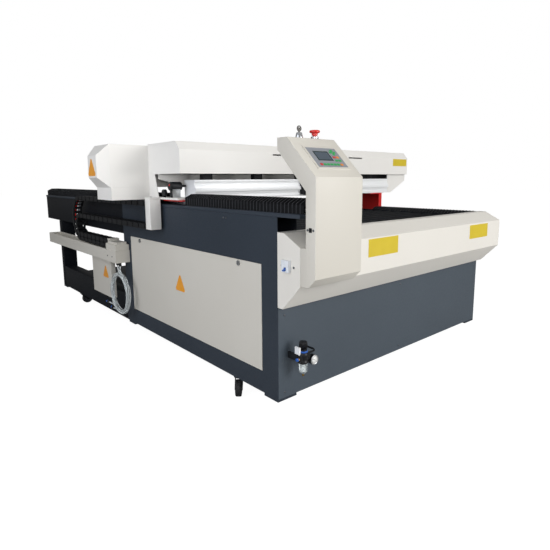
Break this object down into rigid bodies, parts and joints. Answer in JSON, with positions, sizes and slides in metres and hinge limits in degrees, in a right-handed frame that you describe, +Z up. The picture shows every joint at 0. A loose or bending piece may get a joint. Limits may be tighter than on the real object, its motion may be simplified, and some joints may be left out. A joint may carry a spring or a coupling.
{
  "type": "carbon dioxide laser cutting machine",
  "caption": "Flatbed laser cutting machine with a travelling gantry, a slatted bed, bellows over the guide rails, energy chains, a sloping control column and swivel casters.",
  "frame": {"origin": "bottom centre of the machine's box, on the floor", "axes": "+Y from the operator's end to the rear, +X to the operator's right, +Z up"},
  "size_m": [2.14, 3.244, 1.15],
  "materials": {
    "slate": "satin",
    "white": "satin",
    "dark": "matte",
    "bellows": "matte",
    "chain": "matte",
    "steel": "satin",
    "alu": "satin",
    "brass": "satin",
    "red": "satin",
    "red_plastic": "gloss",
    "panel": "matte",
    "screen": "gloss",
    "pale_plastic": "matte",
    "blue": "gloss",
    "clear": "gloss",
    "hose": "gloss",
    "rubber": "matte"
  },
  "bodies": {
    "base": {"left_wall": "slate", "right_wall": "slate", "front_panel": "slate", "floor_pan": "slate", "foot_pads": "slate", "side_beams": "slate", "rear_posts": "slate", "low_rails": "slate", "cross_members": "slate", "bed_rails": "slate", "rail_bases": "slate", "left_door": "white", "apron": "white", "column": "white", "cable_tray": "white", "electrical_box": "white", "rear_shelf": "dark", "hose_fittings": "dark", "air_hose": "dark", "pressure_gauge": "dark", "front_bellows": "bellows", "rear_bellows": "bellows", "energy_chains": "chain", "slats": "steel", "guide_rails": "steel", "switch_collars": "steel", "caster_plates": "steel", "control_panel": "panel", "display": "screen", "breaker": "pale_plastic", "regulator": "blue", "filter_bowl": "clear", "hose_hank": "hose", "hose_tails": "hose"},
    "gantry": {"cross_beam": "alu", "gantry_feet": "red", "carriage_blocks": "steel", "gantry_plates": "white", "long_cover": "white", "cover_bed": "dark", "tube_housing": "white", "laser_tube": "clear", "x_motor": "dark", "chain_post": "white"},
    "head": {"head_carriage": "dark"},
    "focus": {"focus_tube": "brass"},
    "lock_front": {"lock_front": "steel"},
    "lock_rear": {"lock_rear": "steel"},
    "estop_button": {"estop_button": "red_plastic"},
    "switch_key": {"switch_key": "steel"},
    "breaker_toggle": {"breaker_toggle": "blue"},
    "regulator_knob": {"regulator_knob": "dark"},
    "caster_fork_1": {"caster_fork_1": "steel"},
    "caster_wheel_1": {"caster_wheel_1": "rubber"},
    "caster_fork_2": {"caster_fork_2": "steel"},
    "caster_wheel_2": {"caster_wheel_2": "rubber"},
    "caster_fork_3": {"caster_fork_3": "steel"},
    "caster_wheel_3": {"caster_wheel_3": "rubber"},
    "caster_fork_4": {"caster_fork_4": "steel"},
    "caster_wheel_4": {"caster_wheel_4": "rubber"}
  },
  "joints": [
    {"name": "gantry_slide", "type": "slide", "parent": "base", "child": "gantry", "axis": [0, 1, 0], "range_m": [-0.62, 1.8], "deforming": ["front_bellows", "rear_bellows", "energy_chains"]},
    {"name": "head_slide", "type": "slide", "parent": "gantry", "child": "head", "axis": [1, 0, 0], "range_m": [-0.65, 0.6]},
    {"name": "focus_slide", "type": "slide", "parent": "head", "child": "focus", "axis": [0, 0, 1], "range_m": [-0.015, 0.03]},
    {"name": "lock_front_turn", "type": "hinge", "parent": "base", "child": "lock_front", "pos_m": [-0.79, -1.178, 0.613], "axis": [1, 0, 0], "range_deg": [0, 90]},
    {"name": "lock_rear_turn", "type": "hinge", "parent": "base", "child": "lock_rear", "pos_m": [-0.79, -0.23, 0.613], "axis": [1, 0, 0], "range_deg": [0, 90]},
    {"name": "estop_press", "type": "slide", "parent": "base", "child": "estop_button", "axis": [0, 0, 1], "range_m": [-0.004, 0], "stiffness_N_per_m": 2500},
    {"name": "key_turn", "type": "hinge", "parent": "base", "child": "switch_key", "pos_m": [-0.705, -1.452, 1.104], "axis": [0, 0, 1], "range_deg": [0, 90]},
    {"name": "breaker_switch", "type": "hinge", "parent": "base", "child": "breaker_toggle", "pos_m": [-0.798, -1.48, 0.632], "axis": [0, 1, 0], "range_deg": [0, 40]},
    {"name": "regulator_turn", "type": "hinge", "parent": "base", "child": "regulator_knob", "pos_m": [-0.712, -1.484, 0.3], "axis": [0, 0, 1], "range_deg": [-720, 720]},
    {"name": "caster_swivel_1", "type": "hinge", "parent": "base", "child": "caster_fork_1", "pos_m": [-0.748, -1.109, 0.082], "axis": [0, 0, 1], "continuous": true},
    {"name": "caster_roll_1", "type": "hinge", "parent": "caster_fork_1", "child": "caster_wheel_1", "pos_m": [-0.76674, -1.12981, 0.0375], "axis": [0.7431, -0.6691, 0], "continuous": true},
    {"name": "caster_swivel_2", "type": "hinge", "parent": "base", "child": "caster_fork_2", "pos_m": [0.768, -1.109, 0.082], "axis": [0, 0, 1], "continuous": true},
    {"name": "caster_roll_2", "type": "hinge", "parent": "caster_fork_2", "child": "caster_wheel_2", "pos_m": [0.78945, -1.127, 0.0375], "axis": [0.6428, 0.766, 0], "continuous": true},
    {"name": "caster_swivel_3", "type": "hinge", "parent": "base", "child": "caster_fork_3", "pos_m": [-0.748, 0.953, 0.082], "axis": [0, 0, 1], "continuous": true},
    {"name": "caster_roll_3", "type": "hinge", "parent": "caster_fork_3", "child": "caster_wheel_3", "pos_m": [-0.72, 0.953, 0.0375], "axis": [0, 1, 0], "continuous": true},
    {"name": "caster_swivel_4", "type": "hinge", "parent": "base", "child": "caster_fork_4", "pos_m": [0.768, 0.953, 0.082], "axis": [0, 0, 1], "continuous": true},
    {"name": "caster_roll_4", "type": "hinge", "parent": "caster_fork_4", "child": "caster_wheel_4", "pos_m": [0.79338, 0.96483, 0.0375], "axis": [-0.4226, 0.9063, 0], "continuous": true}
  ]
}
